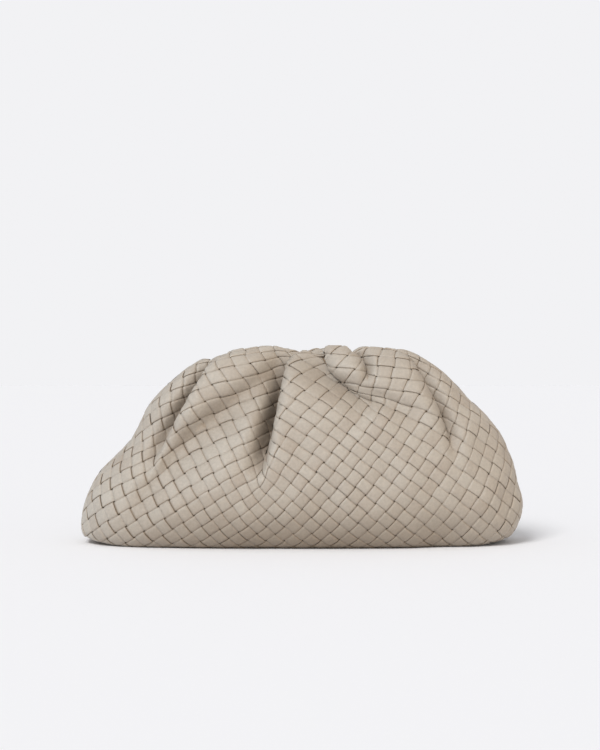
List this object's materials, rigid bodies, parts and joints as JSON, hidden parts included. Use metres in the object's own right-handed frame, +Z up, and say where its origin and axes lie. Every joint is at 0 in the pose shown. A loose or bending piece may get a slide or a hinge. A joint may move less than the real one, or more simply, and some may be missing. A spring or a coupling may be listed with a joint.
{
  "type": "woven leather pouch bag",
  "caption": "Soft woven leather clutch with a gathered top turned in over a hidden closing frame, standing on its flattened base.",
  "frame": {"origin": "on the floor under the middle of the bag", "axes": "+X along the bag to the right as seen from the front, the front faces -Y, +Z up through the mouth"},
  "size_m": [0.4, 0.148, 0.1789],
  "materials": {
    "woven_leather": "soft matt nappa leather strips, warm stone grey, plainly woven on the diagonal",
    "frame_steel": "plain sprung steel, hidden in the hem"
  },
  "bodies": {
    "root": {"front_panel": "woven_leather", "back_panel": "woven_leather", "closing_frame": "frame_steel"}
  },
  "joints": []
}
